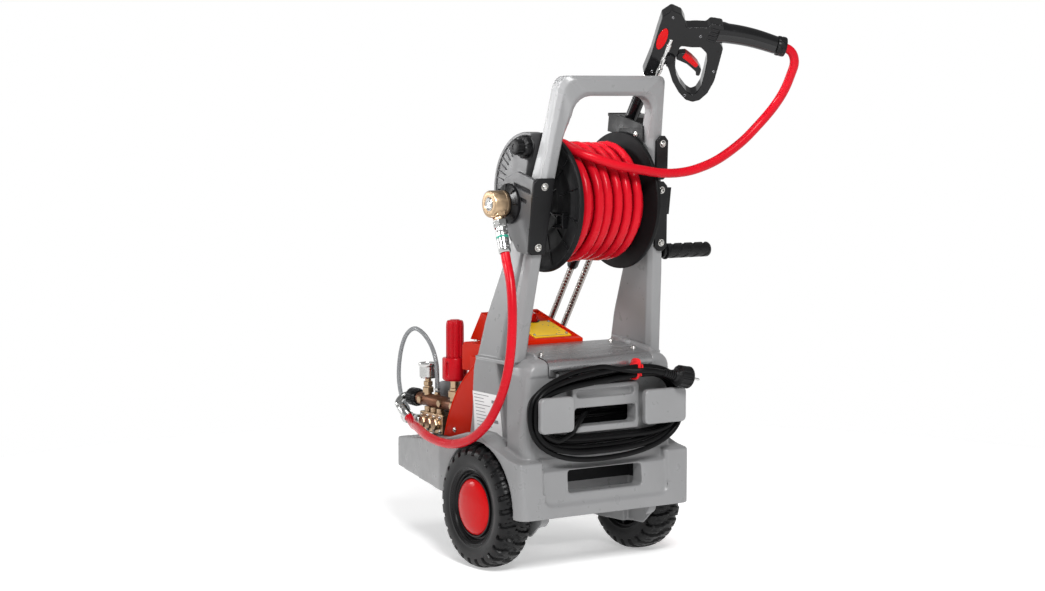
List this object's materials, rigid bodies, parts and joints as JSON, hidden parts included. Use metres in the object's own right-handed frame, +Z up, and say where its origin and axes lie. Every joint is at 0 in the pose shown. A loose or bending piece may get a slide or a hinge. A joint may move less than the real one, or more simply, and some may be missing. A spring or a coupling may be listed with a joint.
{
  "type": "trolley pressure washer",
  "caption": "Two-wheeled trolley pressure washer: moulded chassis and handle, motor and pump, hose drum with crank, spray gun, lances and wound mains cable.",
  "frame": {"origin": "centre of the base of the machine's box, on the floor, measured without the hoses and cable", "axes": "+X to the operator's left, +Y towards the operator (rear, push handle), +Z up"},
  "size_m": [0.5268, 0.7054, 0.9923],
  "materials": {
    "grey_plastic": "satin moulded",
    "silver_plastic": "satin moulded",
    "silver_sheet": "silver satin",
    "zinc_steel": "zinc plated",
    "chrome": "polished",
    "brass": "machined",
    "dark_brass": "dull cast",
    "cast_alloy": "cast",
    "black_plastic": "satin",
    "black_gloss_plastic": "gloss",
    "charcoal_plastic": "satin",
    "rubber": "matte",
    "tyre_rubber": "matte",
    "red_paint": "satin paint",
    "red_plastic": "gloss",
    "yellow_plate": "satin",
    "red_hose": "semi-gloss",
    "cable_rubber": "matte",
    "clear_tube": "clear",
    "glass": "clear"
  },
  "bodies": {
    "machine": {"chassis": "grey_plastic", "handle_frame": "grey_plastic", "top_cover": "silver_sheet", "axle": "zinc_steel", "foot_pad": "rubber", "motor_housing": "cast_alloy", "fan_cowl": "black_plastic", "motor_hood": "red_paint", "switch_box": "red_paint", "switch_plate": "yellow_plate", "pump_crankcase": "cast_alloy", "pump_head": "brass", "outlet_manifold": "dark_brass", "hose_elbow": "zinc_steel", "water_inlet": "zinc_steel", "regulator_collar": "red_plastic", "gauge_case": "zinc_steel", "gauge_lens": "glass", "bypass_hose": "clear_tube", "supply_hose": "red_hose", "supply_ferrule": "zinc_steel", "swivel_body": "brass", "swivel_hub": "black_plastic", "bearing_bracket_left": "charcoal_plastic", "bracket_right_upper": "black_plastic", "bracket_right_lower": "black_plastic", "brake_housing": "silver_plastic", "lance_holder": "black_plastic", "gun_body": "black_gloss_plastic", "gun_lance": "chrome", "lance_sleeve": "black_plastic", "spare_lance": "chrome", "hose_to_gun": "red_hose", "cable_hank": "cable_rubber", "cable_tail": "cable_rubber", "plug_lead": "cable_rubber", "mains_plug": "black_plastic", "cable_gland": "black_plastic"},
    "wheel_left": {"tyre_left": "tyre_rubber", "rim_left": "black_plastic", "hub_cap_left": "red_plastic"},
    "wheel_right": {"tyre_right": "tyre_rubber", "rim_right": "black_plastic", "hub_cap_right": "red_plastic"},
    "rotor": {"motor_shaft": "zinc_steel", "cooling_fan": "black_plastic"},
    "switch_knob": {"main_switch": "red_plastic"},
    "outlet_nut": {"coupling_nut": "black_plastic"},
    "pressure_knob": {"regulator_knob": "red_plastic"},
    "hose_drum": {"drum_core": "black_plastic", "drum_flange_left": "black_gloss_plastic", "drum_flange_right": "black_gloss_plastic", "hose_winding": "red_hose", "crank_arm": "black_plastic"},
    "crank_handle": {"crank_grip": "black_plastic"},
    "brake_screw": {"brake_knob": "black_plastic"},
    "trigger": {"gun_trigger": "red_plastic"},
    "latch": {"gun_latch": "black_plastic"},
    "gun_swivel": {"gun_swivel_ring": "black_plastic"}
  },
  "joints": [
    {"name": "wheel_left_spin", "type": "hinge", "parent": "machine", "child": "wheel_left", "pos_m": [0.2089, 0.0679, 0.11], "axis": [1, 0, 0], "continuous": true},
    {"name": "wheel_right_spin", "type": "hinge", "parent": "machine", "child": "wheel_right", "pos_m": [-0.1181, 0.0679, 0.11], "axis": [1, 0, 0], "continuous": true},
    {"name": "rotor_spin", "type": "hinge", "parent": "machine", "child": "rotor", "pos_m": [0.0554, -0.0281, 0.255], "axis": [0, 1, 0], "continuous": true},
    {"name": "main_switch_turn", "type": "hinge", "parent": "machine", "child": "switch_knob", "pos_m": [0.0404, -0.0431, 0.4247], "axis": [0, 0.2637, 0.9646], "range_deg": [0, 90]},
    {"name": "outlet_nut_turn", "type": "hinge", "parent": "machine", "child": "outlet_nut", "pos_m": [0.1354, -0.2966, 0.2575], "axis": [0, 1, 0], "range_deg": [0, 360]},
    {"name": "pressure_knob_turn", "type": "hinge", "parent": "machine", "child": "pressure_knob", "pos_m": [0.1354, -0.1541, 0.378], "axis": [0, 0, 1], "range_deg": [0, 720]},
    {"name": "drum_turn", "type": "hinge", "parent": "machine", "child": "hose_drum", "pos_m": [0.0454, 0.1259, 0.648], "axis": [1, 0, 0], "continuous": true},
    {"name": "crank_handle_spin", "type": "hinge", "parent": "hose_drum", "child": "crank_handle", "pos_m": [-0.1596, 0.1639, 0.556], "axis": [1, 0, 0], "continuous": true},
    {"name": "brake_screw_turn", "type": "hinge", "parent": "machine", "child": "brake_screw", "pos_m": [0.1824, 0.1369, 0.746], "axis": [1, 0, 0], "range_deg": [0, 180]},
    {"name": "trigger_pull", "type": "hinge", "parent": "machine", "child": "trigger", "pos_m": [-0.09479, 0.22808, 0.90641], "axis": [0.4756, 0.7327, -0.4868], "range_deg": [0, 15], "stiffness_Nm_per_rad": 1, "springref_deg": -5.73},
    {"name": "latch_flip", "type": "hinge", "parent": "machine", "child": "latch", "pos_m": [-0.07939, 0.21782, 0.90602], "axis": [0.4756, 0.7327, -0.4868], "range_deg": [0, 40]},
    {"name": "gun_swivel_spin", "type": "hinge", "parent": "machine", "child": "gun_swivel", "pos_m": [-0.22981, 0.32624, 0.92223], "axis": [-0.8774, 0.4344, -0.2035], "continuous": true}
  ]
}
